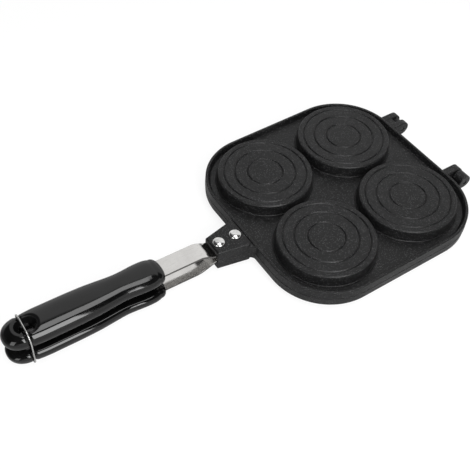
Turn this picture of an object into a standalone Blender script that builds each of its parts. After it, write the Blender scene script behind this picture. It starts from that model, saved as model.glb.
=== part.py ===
"""A double-sided frying pan: two hinged cast halves with four cups each, riveted handles and a closing ring.

Metres, +Z up. The pan lies closed on the round faces of its lower half. +X runs along the handles.
"""

from math import atan, cos, hypot, pi, sin, sqrt, tau

import bmesh
import bpy
from mathutils import Matrix, Vector

# Cups and castings
cup_gap = 0.0002  # between the beads of neighbouring cups
disc_radius = 0.0418  # flat outer face of a cup
disc_height = 0.0110  # outer face above the web between the cups
cup_draft = 0.0013  # growth of a cup's radius from its face to the web
cup_wall = 0.0024
cup_floor = 0.0025
edge_round = 0.0012  # rounded edge of a cup's outer face
bead_width = 0.0008  # bead round the foot of a cup
bead_height = 0.0011
groove_width = 0.0015
groove_depth = 0.0005
groove_shares = (0.86, 0.655, 0.36)  # ring radii as shares of the disc radius
web_thickness = 0.00295
parting_gap = 0.0003  # between the two closed halves
rim_margin = 0.0109  # from a cup's face to the outside of the rim
rim_height = 0.0049  # rim above the web
rim_width = 0.0026
rim_round = 0.0006
rim_draft = 0.0003  # growth of the rim towards the other half
pocket_draft = 0.0012  # slope of the rim's inner face
mark_radius = 0.0042  # round ejector mark on the web
mark_depth = 0.0003
mark_place_share = 0.824  # of the cup pitch, along X

# Handle bracket, a channel open at its end and towards the other half
bracket_length = 0.0313
bracket_root = 0.0160  # half width at the rim
bracket_tip = 0.0098  # half width at the open end
bracket_fillet = 0.0062
bracket_round = 0.0008
bracket_drop = 0.0003  # foot of the bracket below the rim's edge
pad_rise = 0.0021  # raised pad above the rim's edge
pad_from_rim = 0.0011  # groove between the rim and the pad
pad_round = 0.0025
upper_cover = 0.0040  # thickness over the strap
lower_cover = 0.0070

# Rivets
rivet_from_end = 0.0070  # outer rivet, from the bracket's open end
rivet_from_rim = 0.0083  # inner rivet
rivet_head_radius = 0.00545
rivet_head_height = 0.0025
rivet_shank_radius = 0.0025
rivet_tail_radius = 0.0039
rivet_tail_height = 0.0012
seat_gap = 0.0003  # between pieces that touch

# Straps and grips. The pair of handles rises a little from the bracket.
handle_slope_share = 0.036  # rise per length along X
slope_from_rim = 0.0033
strap_width = 0.0168
strap_thickness = 0.0020
strap_from_rim = 0.0012
strap_bend_inset = 0.0015  # start of the bend inside the bracket's open end
upper_bend_run = 0.0165
lower_bend_run = 0.0200
strap_in_grip = 0.0910
upper_strap_offset = 0.00985  # of a strap's middle from the middle of the handles
lower_strap_offset = 0.0087
grip_from_bracket = 0.0490  # from the bracket's open end
grip_length = 0.1328
grip_half_width = 0.0148
grip_half_height = 0.0088
grip_offset = 0.0093  # of a grip's middle from the middle of the handles
# Along the grip: share of its length, of its half width and of its half height.
grip_shares = (
    (0.0000, 0.660, 0.500),
    (0.0075, 0.700, 0.600),
    (0.0188, 0.745, 0.690),
    (0.0339, 0.800, 0.765),
    (0.0527, 0.860, 0.835),
    (0.0715, 0.895, 0.860),
    (0.0979, 0.912, 0.869),
    (0.1506, 0.902, 0.880),
    (0.2108, 0.855, 0.892),
    (0.2711, 0.829, 0.909),
    (0.3313, 0.867, 0.920),
    (0.3916, 0.919, 0.943),
    (0.4518, 0.964, 0.966),
    (0.5120, 0.986, 0.983),
    (0.5723, 0.997, 0.998),
    (0.7003, 1.000, 1.000),
    (0.7907, 0.995, 0.995),
    (0.8358, 0.968, 0.980),
    (0.8712, 0.928, 0.950),
    (0.9036, 0.930, 0.945),
    (0.9262, 0.882, 0.900),
    (0.9450, 0.806, 0.826),
    (0.9676, 0.668, 0.690),
    (0.9834, 0.500, 0.520),
    (0.9940, 0.300, 0.315),
    (1.0000, 0.090, 0.100),
)
grip_power = 2.4  # exponent of the rounded section
hole_place_share = 0.8517  # hanging hole, along the grip
hole_dish_length = 0.0205
hole_dish_width = 0.0172
hole_length = 0.0130
hole_width = 0.0080
hole_dish_depth = 0.0060
hole_flare_share = 0.55  # of the flare left at half the dish's depth

# Closing ring
wire_radius = 0.00062
ring_place_share = 0.8712  # along the grip, in its shallow neck
ring_corner_share = 0.62  # of the ring's half width

# Hinges. One has a tongue between two ears, the other has two knuckles side by side.
hinge_spacing = 0.083  # between the middles of the two hinges
hinge_from_rim = 0.0128  # pin axis
ear_width = 0.0064
tongue_width = 0.0048
hinge_side_gap = 0.0004
ear_radius = 0.0070
tongue_radius = 0.0050
knuckle_width = 0.0076  # of the upper half, and the lower half's takes the rest of the hinge
knuckle_radius = 0.0065  # of the lower half
lug_drop = 0.0009  # top of a lug below the rim's edge
root_drop = 0.0003  # filled root between the ears, below their tops
pin_radius = 0.0017
pin_recess = 0.0005

# Drawing counts
round_steps = 36
corner_steps = 8
section_steps = 20
small_steps = 20
cut_over = 0.002  # how far a cutter runs past what it cuts
sink = 0.001  # how far joined shapes run into each other
weld = 0.000001

# Sizes that follow
cup_pitch = 2 * (disc_radius + cup_draft + bead_width) + cup_gap
half_height = parting_gap / 2 + web_thickness + disc_height
parting_z = half_height
web_top = half_height - disc_height
rim_top = web_top + rim_height
bracket_top = rim_top + pad_rise
rim_half = cup_pitch / 2 + disc_radius + rim_margin
rim_corner = rim_half - cup_pitch / 2
hinge_x = -rim_half - hinge_from_rim
bracket_end = rim_half + bracket_length
grip_start = bracket_end + grip_from_bracket
grip_end = grip_start + grip_length
middle_x = (grip_end + hinge_x - ear_radius) / 2
hinge_width = 2 * (ear_width + hinge_side_gap) + tongue_width
slope_turn = Vector((1, 0, handle_slope_share)).normalized()
slope_up = Vector((-slope_turn.z, 0, slope_turn.x))


def clear_scene():
    for item in list(bpy.data.objects):
        bpy.data.objects.remove(item)
    for group in list(bpy.data.collections):
        bpy.data.collections.remove(group)


def make_material(name, colour, roughness, metallic):
    material = bpy.data.materials.new(name)
    material.use_nodes = True
    shader = material.node_tree.nodes["Principled BSDF"]
    shader.inputs["Base Color"].default_value = (*colour, 1)
    shader.inputs["Roughness"].default_value = roughness
    shader.inputs["Metallic"].default_value = metallic
    material.diffuse_color = (*colour, 1)
    return material


clear_scene()
parts = bpy.data.collections.new("double_sided_frying_pan")
cutters = bpy.data.collections.new("cutters")
bpy.context.scene.collection.children.link(parts)
bpy.context.scene.collection.children.link(cutters)


def add_empty(name, location, parent=None, turn=0):
    empty = bpy.data.objects.new(name, None)
    parts.objects.link(empty)
    empty.empty_display_size = ear_radius
    empty.location = location
    empty.rotation_euler.x = turn
    empty.parent = parent
    return empty


def add_object(name, mesh, parent, look=None):
    """A sub-part if it has a look (colour, roughness, metallic), and otherwise a cutter."""
    item = bpy.data.objects.new(name, mesh)
    item.parent = parent
    if look:
        parts.objects.link(item)
        mesh.materials.clear()
        mesh.materials.append(make_material(name, *look))
    else:
        cutters.objects.link(item)
        item.hide_render = True
        item.display_type = "WIRE"
    return item


def shade(mesh, degrees=35):
    mesh.shade_smooth()
    mesh.set_sharp_from_angle(angle=pi * degrees / 180)


def cut(item, tool, operation="DIFFERENCE"):
    modifier = item.modifiers.new(tool.name, "BOOLEAN")
    modifier.operation = operation
    modifier.solver = "EXACT"
    modifier.object = tool


def merged(meshes, name):
    """One mesh that holds several separate closed shapes."""
    build = bmesh.new()
    for mesh in meshes:
        build.from_mesh(mesh)
    result = bpy.data.meshes.new(name)
    build.to_mesh(result)
    build.free()
    return result


def arc(centre_x, centre_y, radius, start, end, steps):
    """Points of an arc from start to end, angles in turns."""
    angles = [tau * (start + (end - start) * index / steps) for index in range(steps + 1)]
    return [(centre_x + radius * cos(angle), centre_y + radius * sin(angle)) for angle in angles]


def plate(name, outline, low, high, upright=False):
    """A flat outline drawn as a filled 2D curve. It spans low to high along Z, or along Y if upright."""
    curve = bpy.data.curves.new(name, "CURVE")
    curve.dimensions = "2D"
    curve.fill_mode = "BOTH"
    curve.extrude = (high - low) / 2
    spline = curve.splines.new("POLY")
    spline.points.add(len(outline) - 1)
    for point, (x, y) in zip(spline.points, outline):
        point.co = (x, y, 0, 1)
    spline.use_cyclic_u = True
    item = bpy.data.objects.new(name, curve)
    bpy.context.scene.collection.objects.link(item)
    graph = bpy.context.evaluated_depsgraph_get()
    mesh = bpy.data.meshes.new_from_object(item.evaluated_get(graph))
    bpy.data.objects.remove(item)
    bpy.data.curves.remove(curve)
    move = Matrix.Translation((0, 0, (low + high) / 2))
    if upright:
        move = Matrix.Translation((0, (low + high) / 2, 0)) @ Matrix.Rotation(pi / 2, 4, "X")
    mesh.transform(move)
    build = bmesh.new()
    build.from_mesh(mesh)
    bmesh.ops.remove_doubles(build, verts=build.verts, dist=weld)
    bmesh.ops.recalc_face_normals(build, faces=build.faces)
    build.to_mesh(mesh)
    build.free()
    shade(mesh)
    return mesh


def turned(name, profile, steps, place=(0, 0, 0)):
    """A profile of (radius, height) points, from the top down, turned about Z by a Screw modifier."""
    mesh = bpy.data.meshes.new(name)
    points = [(radius, 0, height) for radius, height in profile]
    mesh.from_pydata(points, [(index, index + 1) for index in range(len(points) - 1)], [])
    item = bpy.data.objects.new(name, mesh)
    bpy.context.scene.collection.objects.link(item)
    screw = item.modifiers.new("turn", "SCREW")
    screw.steps = steps
    screw.render_steps = steps
    screw.use_merge_vertices = True
    screw.merge_threshold = weld
    graph = bpy.context.evaluated_depsgraph_get()
    result = bpy.data.meshes.new_from_object(item.evaluated_get(graph))
    bpy.data.objects.remove(item)
    bpy.data.meshes.remove(mesh)
    result.name = name
    result.transform(Matrix.Translation(place))
    shade(result)
    return result


def cylinder(name, radius, low, high, steps, place=(0, 0, 0), along_y=False):
    build = bmesh.new()
    bmesh.ops.create_cone(
        build, cap_ends=True, segments=steps, radius1=radius, radius2=radius, depth=high - low
    )
    bmesh.ops.translate(build, verts=build.verts, vec=(0, 0, (low + high) / 2))
    mesh = bpy.data.meshes.new(name)
    build.to_mesh(mesh)
    build.free()
    if along_y:
        mesh.transform(Matrix.Rotation(-pi / 2, 4, "X"))
    mesh.transform(Matrix.Translation(place))
    shade(mesh)
    return mesh


def rounded_square(half, corner):
    inner = half - corner
    points = []
    for quarter, (side_x, side_y) in enumerate(((1, 1), (-1, 1), (-1, -1), (1, -1))):
        start = quarter / 4
        points += arc(side_x * inner, side_y * inner, corner, start, start + 1 / 4, corner_steps)
    return points


def cup_places():
    half = cup_pitch / 2
    return [(half, half), (-half, half), (-half, -half), (half, -half)]


def cup_profile():
    """Outer form of one cup: grooved face, rounded edge, tapered side and the bead at its foot."""
    points = [(0, half_height)]
    for share in sorted(groove_shares):
        middle = disc_radius * share
        points.append((middle - groove_width / 2, half_height))
        points.append((middle, half_height - groove_depth))
        points.append((middle + groove_width / 2, half_height))
    middle = edge_round * (1 - sqrt(1 / 2))
    points.append((disc_radius - edge_round, half_height))
    points.append((disc_radius - middle, half_height - middle))
    points.append((disc_radius, half_height - edge_round))
    foot = disc_radius + cup_draft
    points.append((foot, web_top + bead_height))
    points.append((foot + bead_width, web_top + bead_height / 2))
    points.append((foot + bead_width, web_top - sink))
    points.append((0, web_top - sink))
    return points


def cavity_profile():
    top = half_height - cup_floor
    mouth = disc_radius + cup_draft - cup_wall
    inner = disc_radius - cup_wall
    slope = (mouth - inner) / top
    return [
        (0, top),
        (inner - edge_round, top),
        (inner, top - edge_round),
        (mouth, 0),
        (mouth + slope * cut_over, -cut_over),
        (0, -cut_over),
    ]


def tray_mesh(name):
    """The web with its rim: a slab with a sloping pocket, its rim's edges rounded."""
    mesh = plate(name, rounded_square(rim_half, rim_corner), parting_gap / 2, rim_top)
    build = bmesh.new()
    build.from_mesh(mesh)
    low = [vert for vert in build.verts if vert.co.z < rim_top / 2]
    spread = 1 + rim_draft / rim_half
    bmesh.ops.scale(build, verts=low, vec=(spread, spread, 1))
    edges = [edge for edge in build.edges if min(vert.co.z for vert in edge.verts) > rim_top - weld]
    border = [edge for edge in edges if max(abs(face.normal.z) for face in edge.link_faces) > 1 / 2]
    border = [edge for edge in border if min(abs(face.normal.z) for face in edge.link_faces) < 1 / 2]
    bmesh.ops.bevel(build, geom=border, offset=rim_round, segments=1, affect="EDGES")
    build.to_mesh(mesh)
    build.free()
    return mesh


def pocket_mesh(name):
    mesh = plate(name, rounded_square(rim_half - rim_width, rim_corner - rim_width), web_top, rim_top)
    build = bmesh.new()
    build.from_mesh(mesh)
    low = [vert for vert in build.verts if vert.co.z < (web_top + rim_top) / 2]
    inner = rim_half - rim_width
    shrink = 1 - pocket_draft / inner
    bmesh.ops.scale(build, verts=low, vec=(shrink, shrink, 1))
    high = [vert for vert in build.verts if vert.co.z > (web_top + rim_top) / 2]
    grow = 1 + pocket_draft / inner * cut_over / rim_height
    bmesh.ops.scale(build, verts=high, vec=(grow, grow, 1))
    bmesh.ops.translate(build, verts=high, vec=(0, 0, cut_over))
    build.to_mesh(mesh)
    build.free()
    return mesh


def bracket_side():
    """Slope of the bracket's side at +Y, and the length and angle that go with it."""
    taper = (bracket_root - bracket_tip) / bracket_length
    return taper, hypot(1, taper), atan(taper) / tau


def open_end():
    """The rounded corner at the open end, on the +Y side."""
    taper, lean, turn = bracket_side()
    centre_y = bracket_tip + (taper - lean) * bracket_round
    steps = corner_steps // 2
    return arc(bracket_end - bracket_round, centre_y, bracket_round, 1 / 4 - turn, 0, steps)


def foot_outline():
    """The bracket's foot. Half drawn at +Y, from the rim to the open end, then mirrored."""
    taper, lean, turn = bracket_side()
    # The fillet's centre lies one fillet radius off the rim and off the tapering side.
    fillet_x = rim_half + bracket_fillet
    fillet_y = bracket_root + (lean - taper) * bracket_fillet
    side = [(rim_half - sink, fillet_y)]
    side += arc(fillet_x, fillet_y, bracket_fillet, 1 / 2, 3 / 4 - turn, corner_steps // 2)
    side += open_end()
    return side + [(x, -y) for x, y in reversed(side)]


def pad_outline():
    """The raised pad on the foot, which leaves a groove between it and the rim."""
    taper, lean, turn = bracket_side()
    from_rim = pad_from_rim + pad_round
    centre_y = bracket_root - taper * from_rim - lean * pad_round
    side = arc(rim_half + from_rim, centre_y, pad_round, 1 / 2, 1 / 4 - turn, corner_steps // 2)
    side += open_end()
    return side + [(x, -y) for x, y in reversed(side)]


def channel_mesh(name, cover):
    """The hollow of the channel, open at the end and towards the other half."""
    start = rim_half + strap_from_rim - seat_gap
    end = bracket_end + cut_over
    wide = strap_width / 2 + seat_gap
    outline = [(start, -wide), (end, -wide), (end, wide), (start, wide)]
    return plate(name, outline, -cut_over, bracket_top - cover)


def lug_outline(radius):
    """Side view of a hinge lug: an eye round the pin, with a neck to the rim on this half's own side."""
    inside = -rim_half + sink
    top = rim_top - lug_drop
    bottom = parting_gap / 2
    lean = (top - radius) / (inside - hinge_x)
    start = 1 / 4 - lean / tau
    end = 1 + bottom / radius / tau
    eye = arc(hinge_x, 0, radius, start, end, small_steps)
    return [(inside, top)] + eye + [(inside, bottom)]


def upper_lugs(name):
    """Two ears at the hinge at -Y and the upper knuckle at the one at +Y."""
    start = (-hinge_spacing - hinge_width) / 2
    end = (-hinge_spacing + hinge_width) / 2
    knuckle = (hinge_spacing - hinge_width) / 2
    outline = lug_outline(ear_radius)
    return [
        plate(name, outline, start, start + ear_width, upright=True),
        plate(name, outline, end - ear_width, end, upright=True),
        plate(name, outline, knuckle, knuckle + knuckle_width, upright=True),
    ]


def lower_lugs(name):
    """The tongue and the lower knuckle, with Y turned over like the rest of the lower half."""
    end = (-hinge_spacing - hinge_width) / 2
    width = hinge_width - knuckle_width - hinge_side_gap
    start = (hinge_spacing - tongue_width) / 2
    return [
        plate(name, lug_outline(tongue_radius), start, start + tongue_width, upright=True),
        plate(name, lug_outline(knuckle_radius), end, end + width, upright=True),
    ]


def root_mesh(name):
    """The root that joins the two ears, which leaves room for the tongue's eye."""
    inside = -rim_half + sink
    outside = hinge_x + tongue_radius + hinge_side_gap
    top = rim_top - lug_drop - root_drop
    bottom = parting_gap / 2
    outline = [(inside, top), (outside, top), (outside, bottom), (inside, bottom)]
    reach = tongue_width / 2 + hinge_side_gap + sink
    middle = -hinge_spacing / 2
    return plate(name, outline, middle - reach, middle + reach, upright=True)


def rivet_places():
    return [rim_half + rivet_from_rim, bracket_end - rivet_from_end]


def rivet_holes(name, low, high):
    radius = rivet_shank_radius + seat_gap
    return [cylinder(name, radius, low, high, small_steps, (x, 0, 0)) for x in rivet_places()]


def bores_mesh(name):
    """The pin bores through the lugs, the rivet holes through the bracket and the shallow ejector mark."""
    reach = (hinge_spacing + hinge_width) / 2 + cut_over
    inner = (hinge_spacing - hinge_width) / 2 - cut_over
    radius = pin_radius + seat_gap
    shapes = [
        cylinder(name, radius, inner, reach, small_steps, (hinge_x, 0, 0), along_y=True),
        cylinder(name, radius, -reach, -inner, small_steps, (hinge_x, 0, 0), along_y=True),
        cylinder(
            name,
            mark_radius,
            web_top - mark_depth,
            web_top + cut_over,
            small_steps,
            (cup_pitch * mark_place_share, 0, 0),
        ),
    ]
    return merged(shapes + rivet_holes(name, 0, bracket_top + cut_over), name)


def add_casting(name, frame, lugs, cover, look):
    pan = add_object(name, tray_mesh(name), frame, look)
    cups = [turned(name + "_cup", cup_profile(), round_steps, (x, y, 0)) for x, y in cup_places()]
    hollows = [turned(name + "_hollow", cavity_profile(), round_steps, (x, y, 0)) for x, y in cup_places()]
    cut(pan, add_object(name + "_pocket", pocket_mesh(name + "_pocket"), frame))
    cut(pan, add_object(name + "_cups", merged(cups, name + "_cups"), frame), "UNION")
    foot = plate(name + "_foot", foot_outline(), parting_gap / 2, rim_top - bracket_drop)
    cut(pan, add_object(name + "_foot", foot, frame), "UNION")
    pad = plate(name + "_pad", pad_outline(), rim_top - bracket_drop - sink, bracket_top)
    cut(pan, add_object(name + "_pad", pad, frame), "UNION")
    cut(pan, add_object(name + "_lugs", merged(lugs, name + "_lugs"), frame), "UNION")
    cut(pan, add_object(name + "_hollows", merged(hollows, name + "_hollows"), frame))
    cut(pan, add_object(name + "_channel", channel_mesh(name + "_channel", cover), frame))
    cut(pan, add_object(name + "_bores", bores_mesh(name + "_bores"), frame))
    return pan


def add_rivet(name, frame, x, cover, look):
    """Domed head outside the bracket, shank, and a formed tail inside the strap."""
    seat = bracket_top + seat_gap
    under = bracket_top - cover - seat_gap - strap_thickness - seat_gap
    profile = [(0, seat + rivet_head_height)]
    for share in (1 / 4, 1 / 2, 3 / 4):
        angle = share * pi / 2
        profile.append((rivet_head_radius * sin(angle), seat + rivet_head_height * cos(angle)))
    rise = rivet_head_height * cos(pi * 3 / 8) / 2
    profile.append((rivet_head_radius, seat + rise))
    profile.append((rivet_head_radius, seat))
    profile.append((rivet_shank_radius, seat))
    profile.append((rivet_shank_radius, under))
    profile.append((rivet_tail_radius, under))
    profile.append((rivet_tail_radius * sqrt(3 / 4), under - rivet_tail_height))
    profile.append((0, under - rivet_tail_height))
    return add_object(name, turned(name, profile, small_steps, (x, 0, 0)), frame, look)


def handle_line(x, offset):
    """Height above the parting plane of a line that keeps its offset from the middle of the handles."""
    return (x - rim_half - slope_from_rim) * handle_slope_share + offset


def smooth_step(share):
    return share * share * (3 - 2 * share)


def strap_middle(side, cover, run, offset):
    """Side view of a strap's middle: flat in the bracket, an S bend, then straight along the handle."""
    flat = side * (bracket_top - cover - seat_gap - strap_thickness / 2)
    bend = bracket_end - strap_bend_inset
    points = [(rim_half + strap_from_rim, flat)]
    steps = corner_steps + corner_steps // 2
    for index in range(steps + 1):
        share = index / steps
        x = bend + run * share
        along = handle_line(x, side * offset)
        points.append((x, flat + (along - flat) * smooth_step(share)))
    end = grip_start + strap_in_grip
    points.append((end, handle_line(end, side * offset)))
    return points


def offset_outline(points, half):
    """The outline of a strip of constant thickness about a row of points."""
    upper, lower = [], []
    for index, (x, z) in enumerate(points):
        before = Vector(points[max(index - 1, 0)])
        after = Vector(points[min(index + 1, len(points) - 1)])
        here = Vector((x, z))
        first = (here - before).normalized() if index else (after - here).normalized()
        second = (after - here).normalized() if index < len(points) - 1 else first
        along = (first + second).normalized()
        stretch = half / max(along.dot(first), 1 / 2)
        across = Vector((-along.y, along.x)) * stretch
        upper.append(tuple(here + across))
        lower.append(tuple(here - across))
    return upper + lower[::-1]


def add_strap(name, frame, side, cover, run, offset, look):
    """The strap's mesh is made in the frame of the closed pan's parting plane."""
    outline = offset_outline(strap_middle(side, cover, run, offset), strap_thickness / 2)
    mesh = plate(name, outline, -strap_width / 2, strap_width / 2, upright=True)
    strap = add_object(name, mesh, frame, look)
    holes = merged(rivet_holes(name + "_holes", -rim_top, rim_top), name + "_holes")
    cut(strap, add_object(name + "_holes", holes, frame))
    return strap


def section(half_width, half_height, steps):
    """Points (y, z) of a superellipse with semi-axes half_width and half_height."""
    points = []
    for index in range(steps):
        angle = tau * index / steps
        across, up = cos(angle), sin(angle)
        reach = (abs(across) ** grip_power + abs(up) ** grip_power) ** (-1 / grip_power)
        points.append((half_width * reach * across, half_height * reach * up))
    return points


def loft(name, rings):
    """A closed skin over rings of points, each ring with the same number of points."""
    build = bmesh.new()
    rows = [[build.verts.new(point) for point in ring] for ring in rings]
    count = len(rows[0])
    for first, second in zip(rows, rows[1:]):
        for index in range(count):
            after = (index + 1) % count
            build.faces.new((first[index], first[after], second[after], second[index]))
    build.faces.new(rows[0])
    build.faces.new(rows[-1])
    bmesh.ops.recalc_face_normals(build, faces=build.faces)
    mesh = bpy.data.meshes.new(name)
    build.to_mesh(mesh)
    build.free()
    shade(mesh)
    return mesh


def oval(length, width, steps):
    """Points of a rounded slot, its long way along X."""
    points = []
    half = (length - width) / 2
    points += arc(half, 0, width / 2, -1 / 4, 1 / 4, steps // 2)
    points += arc(-half, 0, width / 2, 1 / 4, 3 / 4, steps // 2)
    return points


def hole_mesh(name, side):
    """Cutter of the hanging hole: a dish in the outer face that narrows to a slot through the grip."""
    x = grip_start + grip_length * hole_place_share
    middle = handle_line(x, side * grip_offset)
    outer = middle + side * grip_half_height
    levels = [
        (outer + side * cut_over, 1 + cut_over / hole_dish_depth),
        (outer, 1),
        (outer - side * hole_dish_depth / 2, hole_flare_share),
        (outer - side * hole_dish_depth, 0),
        (middle - side * (grip_half_height + cut_over), 0),
    ]
    rings = []
    for z, share in levels:
        length = hole_length + (hole_dish_length - hole_length) * share
        width = hole_width + (hole_dish_width - hole_width) * share
        rings.append([(x + px, py, z) for px, py in oval(length, width, small_steps)])
    return loft(name, rings)


def add_grip(name, frame, side, strap_offset, look):
    rings = []
    for share, wide, high in grip_shares:
        x = grip_start + grip_length * share
        middle = Vector((x, 0, handle_line(x, side * grip_offset)))
        outline = section(grip_half_width * wide, grip_half_height * high, section_steps)
        rings.append([middle + Vector((0, y, z)) for y, z in outline])
    mesh = loft(name, rings)
    grip = add_object(name, mesh, frame, look)
    start = grip_start - cut_over
    end = grip_start + strap_in_grip + seat_gap
    half = strap_thickness / 2 + seat_gap
    rows = [(start, handle_line(start, side * strap_offset)), (end, handle_line(end, side * strap_offset))]
    outline = [(x, z + half) for x, z in rows] + [(x, z - half) for x, z in reversed(rows)]
    wide = strap_width / 2 + seat_gap
    slot = plate(name + "_slot", outline, -wide, wide, upright=True)
    cut(grip, add_object(name + "_slot", slot, frame))
    cut(grip, add_object(name + "_hole", hole_mesh(name + "_hole", side), frame))
    return grip


def grip_size_at(share):
    """Half width and half height of a grip at a share of its length."""
    for low, high in zip(grip_shares, grip_shares[1:]):
        if low[0] <= share <= high[0]:
            part = (share - low[0]) / (high[0] - low[0])
            wide = low[1] + (high[1] - low[1]) * part
            tall = low[2] + (high[2] - low[2]) * part
            return grip_half_width * wide, grip_half_height * tall
    return grip_half_width, grip_half_height


def add_ring(name, frame, look):
    """A closed wire round both grips, square to the line of the handles."""
    x = grip_start + grip_length * ring_place_share
    wide, tall = grip_size_at(ring_place_share)
    half_width = wide + seat_gap + wire_radius
    half_height_ring = grip_offset + tall + seat_gap + wire_radius
    corner = half_width * ring_corner_share
    inner_y = half_width - corner
    inner_z = half_height_ring - corner
    path = []
    for quarter, (side_y, side_z) in enumerate(((1, 1), (-1, 1), (-1, -1), (1, -1))):
        start = quarter / 4
        path += arc(side_y * inner_y, side_z * inner_z, corner, start, start + 1 / 4, corner_steps)
    middle = Vector((x, 0, handle_line(x, 0)))
    curve = bpy.data.curves.new(name, "CURVE")
    curve.dimensions = "3D"
    curve.bevel_depth = wire_radius
    curve.bevel_resolution = 2
    spline = curve.splines.new("POLY")
    spline.points.add(len(path) - 1)
    for point, (y, up) in zip(spline.points, path):
        point.co = (*(middle + Vector((0, y, 0)) + slope_up * up), 1)
    spline.use_cyclic_u = True
    return add_object(name, curve, frame, look)


def add_pin(name, frame, side, look):
    half = hinge_width / 2 - pin_recess
    middle = side * hinge_spacing / 2
    place = (hinge_x, middle, 0)
    mesh = cylinder(name, pin_radius, -half, half, small_steps, place, along_y=True)
    return add_object(name, mesh, frame, look)


coat = ((0.030, 0.030, 0.032), 0.5, 0.2)
plastic = ((0.008, 0.008, 0.008), 0.08, 0)
steel = ((0.62, 0.61, 0.59), 0.28, 1)
aluminium = ((0.70, 0.70, 0.70), 0.3, 1)
pin_steel = ((0.30, 0.30, 0.31), 0.35, 1)

pan_frame = add_empty("pan_frame", (-middle_x, 0, 0))
# The lower half is drawn facing up, like the upper one, and turned over about the line of the handles.
lower_side = add_empty("lower_side", (0, 0, parting_z), pan_frame, pi)
lower_frame = add_empty("lower_frame", (0, 0, parting_z), pan_frame)
lid_axis = add_empty("lid_axis", (hinge_x, 0, parting_z), pan_frame)
upper_frame = add_empty("upper_frame", (-hinge_x, 0, 0), lid_axis)

add_casting("lower_pan", lower_side, lower_lugs("lower_pan_lugs"), lower_cover, coat)
upper_pan = add_casting("upper_pan", upper_frame, upper_lugs("upper_pan_lugs"), upper_cover, coat)
cut(upper_pan, add_object("upper_pan_root", root_mesh("upper_pan_root"), upper_frame), "UNION")
for number, rivet_x in enumerate(rivet_places()):
    add_rivet(f"lower_rivet_{number + 1}", lower_side, rivet_x, lower_cover, aluminium)
    add_rivet(f"upper_rivet_{number + 1}", upper_frame, rivet_x, upper_cover, aluminium)
add_strap("lower_strap", lower_frame, -1, lower_cover, lower_bend_run, lower_strap_offset, steel)
add_strap("upper_strap", upper_frame, 1, upper_cover, upper_bend_run, upper_strap_offset, steel)
add_grip("lower_grip", lower_frame, -1, lower_strap_offset, plastic)
add_grip("upper_grip", upper_frame, 1, upper_strap_offset, plastic)
# The pins are held in the upper half and turn in the bores of the lower half.
add_pin("hinge_pin_1", upper_frame, -1, pin_steel)
add_pin("hinge_pin_2", upper_frame, 1, pin_steel)

add_ring("closing_ring", lower_frame, steel)
bpy.context.view_layer.update()
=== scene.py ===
import math

import bmesh
import bpy
import numpy as np
from mathutils import Matrix


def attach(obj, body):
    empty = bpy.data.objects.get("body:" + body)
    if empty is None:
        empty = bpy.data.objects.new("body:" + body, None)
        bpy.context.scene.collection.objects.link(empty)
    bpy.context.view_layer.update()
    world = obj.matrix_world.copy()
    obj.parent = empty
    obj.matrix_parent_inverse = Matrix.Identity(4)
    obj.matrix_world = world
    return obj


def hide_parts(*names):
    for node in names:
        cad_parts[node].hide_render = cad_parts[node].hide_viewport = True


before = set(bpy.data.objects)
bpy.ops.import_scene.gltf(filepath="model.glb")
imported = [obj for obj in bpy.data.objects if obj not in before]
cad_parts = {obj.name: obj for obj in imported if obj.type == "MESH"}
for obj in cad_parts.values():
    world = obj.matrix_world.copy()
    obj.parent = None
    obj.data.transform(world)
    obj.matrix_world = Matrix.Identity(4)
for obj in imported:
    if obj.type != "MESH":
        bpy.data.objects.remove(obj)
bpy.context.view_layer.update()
print("frame loaded:", len(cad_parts), "CAD nodes")

# The camera stands where the photographer stood: near side, handle end, about 50 degrees up
photoCamera = {
    "place": (0.24848, 0.32731, 0.50889),
    "turn": (40.056, -0.194, 148.146),  # degrees about X, Y, Z
    "lens": 58.39,
    "sensor": 36.0,
    "shift": (0.0760, -0.0063),
    "nearest": 0.01,
}


def makeCamera(look):
    lens = bpy.data.cameras.new("photoCamera")
    lens.lens = look["lens"]
    lens.sensor_width = look["sensor"]
    lens.shift_x, lens.shift_y = look["shift"]
    lens.clip_start = look["nearest"]
    camera = bpy.data.objects.new("photoCamera", lens)
    camera.location = look["place"]
    camera.rotation_euler = [math.radians(angle) for angle in look["turn"]]
    bpy.context.scene.collection.objects.link(camera)
    bpy.context.scene.camera = camera


makeCamera(photoCamera)
print("camera placed")

# Pan frame: X from the middle of the four cups towards the handles, Z from the parting plane.
# Both halves are built there facing up, and the lower one is then turned over about X.
panFrame = {"middleX": -0.09665, "partingZ": 0.0141}

# What several pieces share
shared = {
    "merge": 0.000002,  # points closer than this become one
    "pole": 0.0001,  # radius of the flat face where a turned profile meets its axis
    "cut": 0.0020,  # how far a cut runs on past the surface that it opens
    "holeCut": 0.0010,  # the same for a rivet's hole
    "edgeSteps": 4,  # of a quarter round
    "holeSides": 48,
    "sharp": 32,  # degrees between two faces above which their edge stays sharp
}
corners = ((1, 1), (-1, 1), (-1, -1), (1, -1))  # signs of a rectangle's corners, going round


def makeMesh(name, points, faces):
    mesh = bpy.data.meshes.new(name)
    mesh.from_pydata(points.tolist(), [], faces)
    build = bmesh.new()
    build.from_mesh(mesh)
    bmesh.ops.remove_doubles(build, verts=build.verts, dist=shared["merge"])
    bmesh.ops.recalc_face_normals(build, faces=build.faces)
    build.to_mesh(mesh)
    build.free()
    return mesh


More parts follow.
